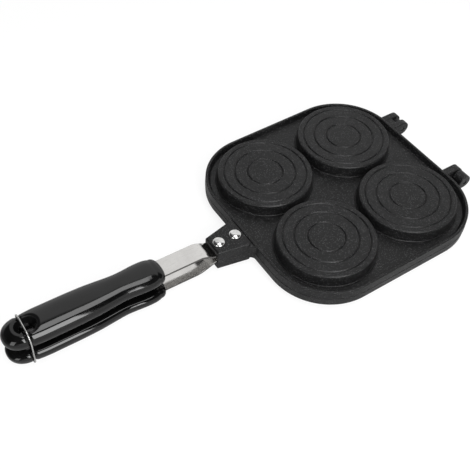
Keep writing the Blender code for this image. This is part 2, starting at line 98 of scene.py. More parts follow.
def gridMesh(name, grid, closed=False):
    # grid[i, j] is the point at step i along the piece and step j round it; quads join neighbours.
    # The first and last rows get one flat face each, or are joined to each other where closed is set.
    rows, columns = grid.shape[:2]
    index = np.arange(rows * columns).reshape(rows, columns)
    if closed:
        index = np.vstack([index, index[:1]])
    after = np.roll(index, -1, axis=1)
    quads = np.stack([index[:-1], after[:-1], after[1:], index[1:]], axis=-1).reshape(-1, 4)
    faces = quads.tolist()
    if not closed:
        faces += [index[0][::-1].tolist(), index[-1].tolist()]
    return makeMesh(name, grid.reshape(-1, 3), faces)


def quarterTurn(steps):
    # Angle = a quarter turn * k / steps
    return np.linspace(0, np.pi / 2, steps + 1)


def unit(vectors):
    # Each vector / its length
    return vectors / np.linalg.norm(vectors, axis=1)[:, None]


def turnedGrid(radius, height, steps, centre=(0, 0)):
    # Point = centre + radius along the angle, at the profile's height: a profile turned about Z
    angle = np.linspace(0, 2 * np.pi, steps, endpoint=False)
    x = centre[0] + radius[:, None] * np.cos(angle)
    y = centre[1] + radius[:, None] * np.sin(angle)
    return np.stack([x, y, np.broadcast_to(height[:, None], x.shape)], axis=-1)


def upright(grid):
    # A shape drawn in (x, z) with its height laid along y
    return grid[..., [0, 2, 1]]


def barGrid(radius, low, high, x):
    # A plain cylinder about Z at x, for a hole or a bore
    return turnedGrid(np.array([radius, radius]), np.array([low, high]), shared["holeSides"], (x, 0))


def arcPoints(centre, radius, start, end, steps):
    # Point = centre + radius along the angle, angles in turns
    angle = 2 * np.pi * np.linspace(start, end, steps + 1)
    return np.stack([centre[0] + radius * np.cos(angle), centre[1] + radius * np.sin(angle)], axis=-1)


def roundedLoop(halfWidth, halfHeight, corner, steps):
    # A rectangle with round corners: point = corner centre + corner radius along the angle
    return np.concatenate([
        arcPoints((a * (halfWidth - corner), b * (halfHeight - corner)), corner, k / 4, (k + 1) / 4, steps)
        for k, (a, b) in enumerate(corners)
    ])


def movedIn(outline, inset):
    # Point = outline point + inset along the inward normal, from the line through its two neighbours
    along = unit(np.roll(outline, -1, axis=0) - np.roll(outline, 1, axis=0))
    return outline + inset * np.stack([-along[:, 1], along[:, 0]], axis=-1)


def levelGrid(levels):
    # Each level is an outline, how far it is moved in, and its height
    return np.array([
        np.column_stack([movedIn(outline, inset), np.full(len(outline), height)])
        for outline, inset, height in levels
    ])


def edgeLevels(outline, height, edge):
    # A quarter round at the top (edge above zero) or bottom (below zero): inset and height on one circle
    turn = quarterTurn(shared["edgeSteps"])
    inset, down = abs(edge) * (1 - np.cos(turn)), edge * (1 - np.sin(turn))
    levels = [(outline, a, height - b) for a, b in zip(inset, down)]
    return levels if edge > 0 else levels[::-1]


def slabGrid(outline, low, high, edge):
    # The outline between two heights, with a quarter round at each end
    return levelGrid(edgeLevels(outline, low, -edge) + edgeLevels(outline, high, edge))


def joined(name, meshes):
    build = bmesh.new()
    for mesh in meshes:
        build.from_mesh(mesh)
    mesh = bpy.data.meshes.new(name)
    build.to_mesh(mesh)
    build.free()
    return mesh


def carved(name, mesh, steps):
    # Unions and cuts one after another with exact Booleans, then keeps only the resulting mesh
    base = bpy.data.objects.new(name, mesh)
    bpy.context.scene.collection.objects.link(base)
    tools = []
    for number, (operation, tool) in enumerate(steps):
        item = bpy.data.objects.new(f"{name}Tool{number}", tool)
        bpy.context.scene.collection.objects.link(item)
        tools.append(item)
        modifier = base.modifiers.new(f"step{number}", "BOOLEAN")
        modifier.operation = operation
        modifier.solver = "EXACT"
        modifier.object = item
    graph = bpy.context.evaluated_depsgraph_get()
    result = bpy.data.meshes.new_from_object(base.evaluated_get(graph))
    for item in tools + [base]:
        bpy.data.objects.remove(item)
    result.name = name
    return result


def placed(mesh, name, side=1):
    # From the pan frame to its place in the world, turned over about X where side is below zero
    turn = Matrix.Rotation(math.pi, 4, "X") if side < 0 else Matrix.Identity(4)
    mesh.transform(Matrix.Translation((panFrame["middleX"], 0, panFrame["partingZ"])) @ turn)
    mesh.name = name
    return mesh


def addPiece(name, mesh, node, body, material, weighted=True):
    mesh.materials.clear()
    mesh.materials.append(material)
    mesh.shade_smooth()
    mesh.set_sharp_from_angle(angle=math.radians(shared["sharp"]))
    piece = bpy.data.objects.new(name, mesh)
    bpy.context.scene.collection.objects.link(piece)
    if weighted:
        modifier = piece.modifiers.new("evenNormals", "WEIGHTED_NORMAL")
        modifier.keep_sharp = True
    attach(piece, body)
    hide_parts(node)


# Materials. Shared effects are node groups, each built once.


def newGroup(name, inputs, outputs):
    group = bpy.data.node_groups.new(name, "ShaderNodeTree")
    for label, kind, value in inputs:
        group.interface.new_socket(label, in_out="INPUT", socket_type=kind).default_value = value
    for label, kind in outputs:
        group.interface.new_socket(label, in_out="OUTPUT", socket_type=kind)
    return group, group.nodes.new("NodeGroupInput"), group.nodes.new("NodeGroupOutput")


def addNode(tree, kind, **settings):
    node = tree.nodes.new(kind)
    for label, value in settings.items():
        if label in node.inputs:
            node.inputs[label].default_value = value
        else:
            setattr(node, label, value)
    return node


def addTexture(tree, kind, place, scale, **settings):
    node = addNode(tree, kind, **settings)
    tree.links.new(place, node.inputs["Vector"])
    tree.links.new(scale, node.inputs["Scale"])
    return node.outputs


def combined(tree, operation, first, second):
    node = addNode(tree, "ShaderNodeMath", operation=operation)
    tree.links.new(first, node.inputs[0])
    tree.links.new(second, node.inputs[1])
    return node.outputs[0]


def rampFrom(tree, source, low, high, toLow=0.0, toHigh=1.0):
    # Value = toLow + (source - low) / (high - low) * (toHigh - toLow), kept between the two
    node = tree.nodes.new("ShaderNodeMapRange")
    for label, value in (("From Min", low), ("From Max", high), ("To Min", toLow), ("To Max", toHigh)):
        node.inputs[label].default_value = value
    tree.links.new(source, node.inputs["Value"])
    return node.outputs["Result"]


scuffLook = {
    "patchScale": 30.0, "patches": (0.42, 0.72),  # noise at which a patch starts, and at which it is full
    "hairlineScale": 300.0, "hairlines": (0.56, 0.70),
    "stretch": (0.08, 1.0, 1.0), "turn": (0.3, 0.2, 0.5),  # of the hairlines, the turn in radians
    "patchNoise": {"Detail": 3.0, "Roughness": 0.6}, "hairlineNoise": {"Detail": 2.0},
}
grainLook = {
    "scale": 1500.0, "stretch": (1.0, 1.0, 1.0), "noise": {"Detail": 4.0, "Roughness": 0.65},
    "flecks": (0.30, 0.12),  # distance from a cell's middle at which a fleck starts, and at which it is full
}


def makeScuffs(look):
    # Soft rubbed patches crossed by fine hairlines. Mask = the larger of two noises, each on its ramp.
    group, start, end = newGroup(
        "scuffs",
        [
            ("Patch Scale", "NodeSocketFloat", look["patchScale"]),
            ("Hairline Scale", "NodeSocketFloat", look["hairlineScale"]),
        ],
        [("Mask", "NodeSocketFloat")],
    )
    place, scales = addNode(group, "ShaderNodeTexCoord").outputs["Object"], start.outputs
    patches = addTexture(group, "ShaderNodeTexNoise", place, scales["Patch Scale"], **look["patchNoise"])
    stretch = addNode(group, "ShaderNodeMapping", Scale=look["stretch"], Rotation=look["turn"])
    group.links.new(place, stretch.inputs["Vector"])
    place = stretch.outputs["Vector"]
    lines = addTexture(group, "ShaderNodeTexNoise", place, scales["Hairline Scale"], **look["hairlineNoise"])
    soft = rampFrom(group, patches["Fac"], *look["patches"])
    thin = rampFrom(group, lines["Fac"], *look["hairlines"])
    group.links.new(combined(group, "MAXIMUM", soft, thin), end.inputs["Mask"])
    return group


def makeGrain(look):
    # Fine grain as a height, and flecks as a mask. A Stretch below one along X draws both out along it.
    group, start, end = newGroup(
        "grain",
        [("Scale", "NodeSocketFloat", look["scale"]), ("Stretch", "NodeSocketVector", look["stretch"])],
        [("Height", "NodeSocketFloat"), ("Flecks", "NodeSocketFloat")],
    )
    stretch = addNode(group, "ShaderNodeMapping")
    group.links.new(addNode(group, "ShaderNodeTexCoord").outputs["Object"], stretch.inputs["Vector"])
    group.links.new(start.outputs["Stretch"], stretch.inputs["Scale"])
    place, scale = stretch.outputs["Vector"], start.outputs["Scale"]
    fine = addTexture(group, "ShaderNodeTexNoise", place, scale, **look["noise"])
    cells = addTexture(group, "ShaderNodeTexVoronoi", place, scale)
    group.links.new(fine["Fac"], end.inputs["Height"])
    group.links.new(rampFrom(group, cells["Distance"], *look["flecks"]), end.inputs["Flecks"])
    return group


scuffs = makeScuffs(scuffLook)
grain = makeGrain(grainLook)


def newMaterial(name):
    material = bpy.data.materials.new(name)
    material.use_nodes = True
    tree = material.node_tree
    return material, tree, tree.nodes["Principled BSDF"]


def addGroup(tree, group, **values):
    node = tree.nodes.new("ShaderNodeGroup")
    node.node_tree = group
    for label, value in values.items():
        node.inputs[label.replace("_", " ")].default_value = value
    return node.outputs


def addScuffs(tree, look):
    scales = {"Patch_Scale": look["patchScale"], "Hairline_Scale": look["hairlineScale"]}
    return addGroup(tree, scuffs, **scales)["Mask"]


def mixColours(tree, mask, first, second):
    # Colour = first where the mask is 0, second where it is 1
    node = addNode(tree, "ShaderNodeMix", data_type="RGBA")
    node.inputs["A"].default_value = (*first, 1)
    node.inputs["B"].default_value = (*second, 1)
    tree.links.new(mask, node.inputs["Factor"])
    return node.outputs["Result"]


def addRoughness(tree, shader, mask, look):
    tree.links.new(rampFrom(tree, mask, 0, 1, *look["roughness"]), shader.inputs["Roughness"])


def addBump(tree, shader, height, look):
    bump = addNode(tree, "ShaderNodeBump", Strength=look["bumpStrength"], Distance=look["bump"])
    tree.links.new(height, bump.inputs["Height"])
    tree.links.new(bump.outputs["Normal"], shader.inputs["Normal"])


coat = {
    "dark": (0.0050, 0.0050, 0.0052), "fleck": (0.085, 0.085, 0.087), "specular": 0.27,
    "fleckScale": 850.0,  # flecks about a millimetre apart
    "patchScale": 26.0, "hairlineScale": 420.0, "roughness": (0.36, 0.52),
    "bump": 0.00018, "bumpStrength": 0.5,
}


def makeCoat(look):
    # Matt black non-stick coat: pale flecks, a faint orange peel and rubbed patches
    material, tree, shader = newMaterial("nonstickCoat")
    fine = addGroup(tree, grain, Scale=look["fleckScale"])
    colour = mixColours(tree, fine["Flecks"], look["dark"], look["fleck"])
    tree.links.new(colour, shader.inputs["Base Color"])
    addRoughness(tree, shader, addScuffs(tree, look), look)
    addBump(tree, shader, fine["Height"], look)
    shader.inputs["Specular IOR Level"].default_value = look["specular"]
    return material


gloss = {
    "colour": (0.0015, 0.0015, 0.0015), "worn": (0.004, 0.004, 0.0042), "bend": 1.46,
    "patchScale": 45.0, "hairlineScale": 600.0, "roughness": (0.06, 0.12),
    "rippleScale": 90.0, "bump": 0.00002, "bumpStrength": 0.4,
}


def makeGloss(look):
    # Polished black moulding with faint rubbing marks and a slight ripple
    material, tree, shader = newMaterial("gripGloss")
    rubbed = addScuffs(tree, look)
    tree.links.new(mixColours(tree, rubbed, look["colour"], look["worn"]), shader.inputs["Base Color"])
    addRoughness(tree, shader, rubbed, look)
    addBump(tree, shader, addGroup(tree, grain, Scale=look["rippleScale"])["Height"], look)
    shader.inputs["IOR"].default_value = look["bend"]
    return material


def paintEdgeShade(tree, tone, look):
    # Painted shade: past the width of the face, on either side of the middle plane, the edge faces are
    # coloured darker, in place of the dark surroundings that they mirror
    way = addNode(tree, "ShaderNodeSeparateXYZ")
    tree.links.new(addNode(tree, "ShaderNodeTexCoord").outputs["Object"], way.inputs["Vector"])
    out = addNode(tree, "ShaderNodeMath", operation="ABSOLUTE")
    tree.links.new(way.outputs["Y"], out.inputs[0])
    node = addNode(tree, "ShaderNodeMix", data_type="RGBA")
    node.inputs["B"].default_value = (*look["edgeShadeTone"], 1)
    tree.links.new(tone, node.inputs["A"])
    tree.links.new(rampFrom(tree, out.outputs[0], *look["edgeShadeFrom"]), node.inputs["Factor"])
    return node.outputs["Result"]


def makeMetal(name, look):
    # Bare metal: grain stretched by the tool that finished it, with duller rubbed patches, and painted shade
    # on the edge faces where the look gives a tone for it
    material, tree, shader = newMaterial(name)
    lines = addGroup(tree, grain, Scale=look["grainScale"], Stretch=look["stretch"])
    rubbed = addScuffs(tree, look)
    tone = mixColours(tree, rubbed, look["colour"], look["dull"])
    # Painted shade on the edge faces, standing in for the dark reflection that they show
    if "edgeShadeTone" in look:
        tone = paintEdgeShade(tree, tone, look)
    tree.links.new(tone, shader.inputs["Base Color"])
    addRoughness(tree, shader, rubbed, look)
    addBump(tree, shader, lines["Height"], look)
    shader.inputs["Metallic"].default_value = 1.0
    return material


anyMetal = {"hairlineScale": 700.0, "bumpStrength": 0.5, "stretch": (1.0, 1.0, 1.0)}
strapMetal = {
    **anyMetal, "colour": (0.65, 0.64, 0.625), "dull": (0.58, 0.57, 0.555), "roughness": (0.07, 0.13),
    "grainScale": 1400.0, "stretch": (0.06, 1.0, 1.0), "patchScale": 60.0, "bump": 0.00004,
    # tone of the painted shade on the edge faces, and the distances from the middle plane over which it comes
    # in
    "edgeShadeTone": (0.16, 0.155, 0.15), "edgeShadeFrom": (0.00812, 0.00828),
}
rivetMetal = {
    **anyMetal, "colour": (0.74, 0.74, 0.73), "dull": (0.54, 0.54, 0.53), "roughness": (0.12, 0.22),
    "grainScale": 1800.0, "patchScale": 220.0, "bump": 0.00002,
}
wireMetal = {
    **anyMetal, "colour": (0.58, 0.58, 0.57), "dull": (0.44, 0.44, 0.43), "roughness": (0.16, 0.30),
    "grainScale": 2200.0, "patchScale": 160.0, "bump": 0.00002,
}
pinMetal = {
    **anyMetal, "colour": (0.10, 0.10, 0.10), "dull": (0.05, 0.05, 0.05), "roughness": (0.34, 0.50),
    "grainScale": 2000.0, "patchScale": 300.0, "bump": 0.00003,
}

coatMaterial = makeCoat(coat)
gripMaterial = makeGloss(gloss)
strapMaterial = makeMetal("strapSteel", strapMetal)
rivetMaterial = makeMetal("rivetAluminium", rivetMetal)
wireMaterial = makeMetal("ringWire", wireMetal)
pinMaterial = makeMetal("pinSteel", pinMetal)
print("materials made")

# The two cast halves
casting = {
    "pitch": 0.088, "faceRadius": 0.0418, "faceZ": 0.0141, "webTop": 0.0031, "webUnder": 0.00015,
    "grooveShares": (0.372, 0.642, 0.872), "grooveWidth": 0.0023, "grooveDepth": 0.0008, "groovePoints": 9,
    "faceEdge": 0.0011, "facePower": 1.55, "sideDraft": 0.0013, "sides": 128, "cupSteps": 6,
    "beadWidth": 0.0008, "beadHeight": 0.00108, "beadLift": 0.0001, "cupSink": 0.001,
    "rimHalf": 0.0967, "rimCorner": 0.0527, "rimTop": 0.0080, "rimWidth": 0.0026, "rimEdge": 0.0007,
    "partingEdge": 0.00045, "rimDraft": 0.0003, "pocketDraft": 0.0012, "floorFillet": 0.0012,
    "cornerPoints": 25, "rimSteps": 5, "overlap": 0.0012,  # of bracket and lugs with the rim
    "cupWall": 0.0024, "cupFloor": 0.0025, "cupFillet": 0.0022, "hollowSteps": 7,
    "mouthEdge": 0.0004, "mouthFlare": 0.0012,
    "markX": 0.0725, "markRadius": 0.0050, "markDepth": 0.0005,
}


def trayMesh(size):
    # Point = corner centre + (corner radius - inset) along the angle: the rim's profile carried round the
    # square. Each of the profile's four parts, from the parting edge to the web, is a quarter round.
    inner = size["rimHalf"] - size["rimCorner"]
    signs = np.repeat(corners, size["cornerPoints"], axis=0)
    angle = np.concatenate([np.linspace(k, k + 1, size["cornerPoints"]) for k in range(4)]) * np.pi / 2
    way = np.stack([np.cos(angle), np.sin(angle)], axis=-1)
    edge, lowEdge, foot, width = size["rimEdge"], size["partingEdge"], size["floorFillet"], size["rimWidth"]
    quarter = quarterTurn(size["rimSteps"])
    inset = np.concatenate([
        lowEdge * (1 - np.sin(quarter)) - size["rimDraft"],
        edge * (1 - np.cos(quarter)),
        width - edge * (1 - np.sin(quarter)),
        width + size["pocketDraft"] + foot * (1 - np.cos(quarter)),
    ])
    height = np.concatenate([
        size["webUnder"] + lowEdge * (1 - np.cos(quarter)),
        size["rimTop"] - edge * (1 - np.sin(quarter)),
        size["rimTop"] - edge * (1 - np.cos(quarter)),
        size["webTop"] + foot * (1 - np.sin(quarter)),
    ])
    flat = signs[None] * inner + (size["rimCorner"] - inset)[:, None, None] * way[None]
    grid = np.concatenate([flat, np.broadcast_to(height[:, None, None], flat.shape[:2] + (1,))], axis=-1)
    return gridMesh("tray", grid)


def cupProfile(size):
    # Height = face - groove depth * half cosine across each groove; then an edge between a chamfer and a
    # round (offsets of 1 - sin^power and 1 - cos^power), a drafted side and a bead
    face, faceRadius = size["faceZ"], size["faceRadius"]
    foot, web = faceRadius + size["sideDraft"], size["webTop"]
    radius, height = [[shared["pole"]]], [[face]]
    across = np.linspace(-0.5, 0.5, size["groovePoints"])
    for share in size["grooveShares"]:
        radius.append(faceRadius * share + size["grooveWidth"] * across)
        height.append(face - size["grooveDepth"] * 0.5 * (1 + np.cos(2 * np.pi * across)))
    quarter = quarterTurn(size["cupSteps"])
    edge, power = size["faceEdge"], size["facePower"]
    radius.append(faceRadius - edge * (1 - np.sin(quarter) ** power))
    height.append(face - edge * (1 - np.abs(np.cos(quarter)) ** power))
    radius.append(foot + size["beadWidth"] * np.sin(quarter))
    height.append(web + size["beadHeight"] * np.cos(quarter) + size["beadLift"])
    radius.append([foot + size["beadWidth"], shared["pole"]])
    height.append([web - size["cupSink"], web - size["cupSink"]])
    return np.concatenate(radius), np.concatenate(height)


def hollowProfile(size):
    # The batter side of a cup: flat floor, filleted corner, drafted wall and a softened mouth
    top = size["faceZ"] - size["cupFloor"]
    inner = size["faceRadius"] - size["cupWall"]
    mouth = inner + size["sideDraft"]
    fillet, edge, low = size["cupFillet"], size["mouthEdge"], size["webUnder"]
    quarter = quarterTurn(size["hollowSteps"])
    radius = np.concatenate([
        [shared["pole"]], inner - fillet * (1 - np.sin(quarter)),
        mouth + edge * (1 - np.cos(quarter)), [mouth + size["mouthFlare"], shared["pole"]],
    ])
    height = np.concatenate([
        [top], top - fillet * (1 - np.cos(quarter)),
        low + edge * (1 - np.sin(quarter)), [low - shared["cut"], low - shared["cut"]],
    ])
    return radius, height


def cupMeshes(size, name, profile):
    # The profile turned about the middle of each of the four cups
    half = size["pitch"] / 2
    grids = [turnedGrid(*profile(size), size["sides"], (a * half, b * half)) for a, b in corners]
    return joined(name, [gridMesh(name, grid) for grid in grids])


bracket = {
    "length": 0.0313, "root": 0.0160, "tip": 0.0098, "fillet": 0.0062, "filletSteps": 12,
    "round": 0.0008, "roundSteps": 6, "drop": 0.0008, "rise": 0.0021,
    "padFromRim": 0.0014, "padRound": 0.0025, "padSteps": 8, "edge": 0.0012, "footEdge": 0.0007,
    "footUnder": 0.0002, "cover": {1: 0.0040, -1: 0.0070}, "channelStart": 0.0009,
}


def bracketMeshes(pan, size):
    # The foot with its root fillets, and the raised pad on it, which leaves a groove towards the rim.
    # Both outlines run along the same tapering sides and round the same open end.
    rim, end, fillet, corner = pan["rimHalf"], pan["rimHalf"] + size["length"], size["fillet"], size["round"]
    taper = (size["root"] - size["tip"]) / size["length"]
    lean, turn = math.hypot(1, taper), math.atan(taper) / (2 * np.pi)
    footY = size["root"] + (lean - taper) * fillet
    foot = arcPoints((rim + fillet, footY), fillet, 0.5, 0.75 - turn, size["filletSteps"])
    padX = rim + size["padFromRim"] + size["padRound"]
    padY = size["root"] - taper * (padX - rim) - lean * size["padRound"]
    pad = arcPoints((padX, padY), size["padRound"], 0.5, 0.25 - turn, size["padSteps"])
    tipPlace = (end - corner, size["tip"] + (taper - lean) * corner)
    tip = arcPoints(tipPlace, corner, 0.25 - turn, 0, size["roundSteps"])
    ledge, top = pan["rimTop"] - size["drop"], pan["rimTop"] + size["rise"]
    near = [np.concatenate([[(rim - pan["overlap"], footY)], foot, tip]), np.concatenate([pad, tip])]
    foot, pad = [np.concatenate([half, half[::-1] * (1, -1)])[::-1] for half in near]
    foot = edgeLevels(foot, pan["webUnder"], -size["footUnder"]) + edgeLevels(foot, ledge, size["footEdge"])
    pad = [(pad, 0, pan["webTop"])] + edgeLevels(pad, top, size["edge"])
    return [gridMesh("bracket", levelGrid(levels)) for levels in (foot, pad)]


def channelMesh(pan, size, band, side):
    # The slot under the bracket's cover that the strap lies in, open below and at the end
    start, end = pan["rimHalf"] + size["channelStart"], pan["rimHalf"] + size["length"] + shared["cut"]
    wide = band["width"] / 2 + band["clear"]
    outline = np.array([(start, -wide), (end, -wide), (end, wide), (start, wide)])
    ceiling = pan["rimTop"] + size["rise"] - size["cover"][side]
    return gridMesh("channel", levelGrid([(outline, 0, -shared["cut"]), (outline, 0, ceiling)]))


hinge = {
    "x": -0.1095, "spacing": 0.083, "width": 0.0184, "ear": 0.0064, "tongue": 0.0048, "knuckle": 0.0076,
    "gap": 0.0004, "earRadius": 0.00698, "tongueRadius": 0.0050, "knuckleRadius": 0.0065, "eyeSteps": 40,
    "drop": 0.0009, "edge": 0.0007, "rootDrop": 0.0002, "rootEdge": 0.0001, "rootSink": 0.0010,
    "bore": 0.0020, "pin": 0.0017, "pinChamfer": 0.0003, "recess": 0.0005,
}


def lugMesh(pan, size, radius, low, high):
    # Side view of a lug: an eye round the pin and a neck to the rim; thickness along y with softened edges
    inside, top, under = pan["overlap"] - pan["rimHalf"], pan["rimTop"] - size["drop"], pan["webUnder"]
    lean = (top - radius) / (inside - size["x"]) / (2 * np.pi)
    eye = arcPoints((size["x"], 0), radius, 0.25 - lean, 1 + under / radius / (2 * np.pi), size["eyeSteps"])
    outline = np.concatenate([[(inside, top)], eye, [(inside, under)]])
    return gridMesh("lug", upright(slabGrid(outline, low, high, size["edge"])))


def lugMeshes(pan, size, side):
    # Upper half: two ears at the hinge at -Y and one knuckle at +Y. Lower half, with Y turned over:
    # the tongue between the ears and the wider knuckle beside the upper one.
    half, near, far = size["width"] / 2, size["spacing"] / 2, -size["spacing"] / 2
    ear, tongue, gap = size["ear"], size["tongue"] / 2, size["gap"]
    if side > 0:
        spans = [
            (size["earRadius"], far - half, far - half + ear),
            (size["earRadius"], far + half - ear, far + half),
            (size["earRadius"], near - half, near - half + size["knuckle"]),
        ]
    else:
        spans = [
            (size["tongueRadius"], near - tongue, near + tongue),
            (size["knuckleRadius"], far - half, far + half - size["knuckle"] - gap),
        ]
    return [lugMesh(pan, size, *span) for span in spans]


def rootMesh(pan, size):
    # The block that joins the two ears at the rim and leaves room for the tongue's eye
    inside, outside = pan["overlap"] - pan["rimHalf"], size["x"] + size["tongueRadius"] + size["gap"]
    top, under = pan["rimTop"] - size["drop"] - size["rootDrop"], pan["webUnder"]
    outline = np.array([(inside, top), (outside, top), (outside, under), (inside, under)])
    reach, middle = size["tongue"] / 2 + size["gap"] + size["rootSink"], -size["spacing"] / 2
    return gridMesh("root", upright(slabGrid(outline, middle - reach, middle + reach, size["rootEdge"])))


rivet = {
    "x": (0.1050, 0.1210), "headRadius": 0.0052, "headHeight": 0.0025, "headEdge": 0.0005, "headSteps": 16,
    "seat": 0.0001, "shank": 0.0025, "hole": 0.0028, "pole": 0.00005, "sides": 64,
    "tailRadius": 0.0039, "tailHeight": 0.0012, "tailSteps": 4, "tailTurn": 0.7,
}
strap = {
    "width": 0.0168, "thickness": 0.0020, "edge": 0.00025, "edgeSteps": 4, "clear": 0.0003,
    "start": 0.0979, "bend": 0.1265, "run": {1: 0.0165, -1: 0.0200}, "bendPoints": 41, "end": 0.2680,
    "offset": {1: 0.00985, -1: 0.0087}, "holeReach": 0.008,
}


def castingMesh(pan, arm, joint, pins, band, side):
    # Tray + cups + bracket + lugs, less the batter side, the strap's channel, the round holes and the mark
    foot, pad = bracketMeshes(pan, arm)
    top, depth = pan["rimTop"] + arm["rise"], shared["holeCut"]
    reach, middle = joint["width"] / 2 + shared["cut"], joint["spacing"] / 2
    grids = [upright(barGrid(joint["bore"], y - reach, y + reach, joint["x"])) for y in (-middle, middle)]
    grids += [barGrid(pins["hole"], -depth, top + depth, x) for x in pins["x"]]
    grids.append(barGrid(pan["markRadius"], pan["webTop"] - pan["markDepth"], pan["rimTop"], pan["markX"]))
    return carved("casting", trayMesh(pan), [
        ("UNION", cupMeshes(pan, "cups", cupProfile)),
        ("UNION", foot),
        ("UNION", pad),
        ("UNION", joined("lugs", lugMeshes(pan, joint, side))),
        *([("UNION", rootMesh(pan, joint))] if side > 0 else []),
        ("DIFFERENCE", cupMeshes(pan, "hollows", hollowProfile)),
        ("DIFFERENCE", channelMesh(pan, arm, band, side)),
        ("DIFFERENCE", joined("bores", [gridMesh("bore", grid) for grid in grids])),
    ])


halves = (("upper", 1), ("lower", -1))
for half, side in halves:
    mesh = castingMesh(casting, bracket, hinge, rivet, strap, side)
    mesh = placed(mesh, half + "Casting", side)
    addPiece(mesh.name, mesh, half + "_pan", half + "_half", coatMaterial)
    print(half, "casting made:", len(mesh.polygons), "faces")


def rivetMesh(pan, arm, band, size, x, side):
    # Height = seat + dome height * cosine of the angle: domed head, shank and a formed tail
    top = pan["rimTop"] + arm["rise"]
    seat, under = top + size["seat"], top - arm["cover"][side] - band["thickness"] - 2 * band["clear"]
    head, tail, rise = quarterTurn(size["headSteps"]), quarterTurn(size["tailSteps"]), size["headEdge"]
    radius = np.concatenate([
        size["headRadius"] * np.sin(head), [size["headRadius"] - size["seat"], size["shank"], size["shank"]],
        size["tailRadius"] * np.cos(tail * size["tailTurn"]), [0.0],
    ])
    height = np.concatenate([
        seat + rise + (size["headHeight"] - rise) * np.cos(head), [seat, seat, under],
        under - size["tailHeight"] * np.sin(tail), [under - size["tailHeight"]],
    ])
    return gridMesh("rivet", turnedGrid(np.maximum(radius, size["pole"]), height, size["sides"], (x, 0)))


# Both handles rise along one line; offset is how far each grip's middle lies from it
handles = {"slope": 0.036, "from": 0.1000, "offset": 0.0093}


def handleLine(x, offset):
    # Height = (x - where the line starts) * slope + offset
    return (x - handles["from"]) * handles["slope"] + offset


def strapMesh(pan, arm, size, pins, side):
    # Middle line: flat in the bracket, then a smooth S, then the line of the handles.
    # Point = middle + y of the section across + z of the section square to the line.
    ceiling = pan["rimTop"] + arm["rise"] - arm["cover"][side]
    flat = side * (ceiling - size["clear"] - size["thickness"] / 2)
    bend, run = size["bend"], size["run"][side]
    x = np.concatenate([[size["start"]], np.linspace(bend, bend + run, size["bendPoints"]), [size["end"]]])
    share = np.clip((x - bend) / run, 0, 1)
    along = handleLine(x, side * size["offset"][side])
    z = flat + (along - flat) * share * share * (3 - 2 * share)
    square = unit(np.stack([-np.gradient(z, x), np.zeros_like(x), np.ones_like(x)], axis=-1))
    section = roundedLoop(size["width"] / 2, size["thickness"] / 2, size["edge"], size["edgeSteps"])
    middle = np.stack([x, np.zeros_like(x), z], axis=-1)
    across = np.array([0, 1, 0])
    grid = middle[:, None] + section[None, :, :1] * across + section[None, :, 1:] * square[:, None]
    deep = size["holeReach"]
    holes = [gridMesh("hole", barGrid(pins["hole"], -deep, deep, place)) for place in pins["x"]]
    return carved("strap", gridMesh("strap", grid), [("DIFFERENCE", joined("holes", holes))])


grip = {
    "start": 0.1770, "length": 0.1328, "halfWidth": 0.0148, "halfHeight": 0.0088, "power": 2.4, "sides": 144,
    "inner": {"power": 3.0, "height": 0.66},  # the half that faces the other grip
    "bodyPoints": 160, "endShare": 0.8735, "endPower": 2.2, "endSteps": 33,
    "noseDepth": 0.0052, "noseAhead": 0.0018, "nosePower": 2.4, "noseSteps": 23,
    "neck": {"place": 0.8712, "reach": 0.0030, "depth": 0.062},  # where the closing ring lies
    # share of the length, of the half width and of the half height
    "shares": (
        (0.0000, 0.660, 0.560), (0.0075, 0.700, 0.600), (0.0188, 0.745, 0.690), (0.0339, 0.800, 0.765),
        (0.0527, 0.860, 0.835), (0.0715, 0.895, 0.860), (0.0979, 0.912, 0.869), (0.1506, 0.902, 0.880),
        (0.2108, 0.855, 0.892), (0.2711, 0.829, 0.909), (0.3313, 0.867, 0.920), (0.3916, 0.919, 0.943),
        (0.4518, 0.964, 0.966), (0.5120, 0.986, 0.983), (0.5723, 0.997, 0.998), (0.7003, 1.000, 1.000),
        (0.7907, 0.995, 0.995), (0.8358, 0.968, 0.980), (0.8735, 0.930, 0.948),
    ),
    "slotLead": 0.005, "slotClear": 0.0003,
    "hole": {
        "place": 0.8517, "dish": (0.0187, 0.0154), "through": (0.0130, 0.0080), "depth": 0.0065,
        "above": 0.25, "points": 13, "power": 0.86, "arcSteps": 20,
        "lip": {"reach": 0.0022, "depth": 0.0008},
    },
}


def smoothCurve(places, values, at):
    # Cubic Hermite through the points, with slopes from the neighbours
    slope = np.gradient(values, places)
    index = np.clip(np.searchsorted(places, at) - 1, 0, len(places) - 2)
    step = places[index + 1] - places[index]
    t = np.clip((at - places[index]) / step, 0, 1)
    return (
        (2 * t**3 - 3 * t**2 + 1) * values[index]
        + (t**3 - 2 * t**2 + t) * step * slope[index]
        + (3 * t**2 - 2 * t**3) * values[index + 1]
        + (t**3 - t**2) * step * slope[index + 1]
    )


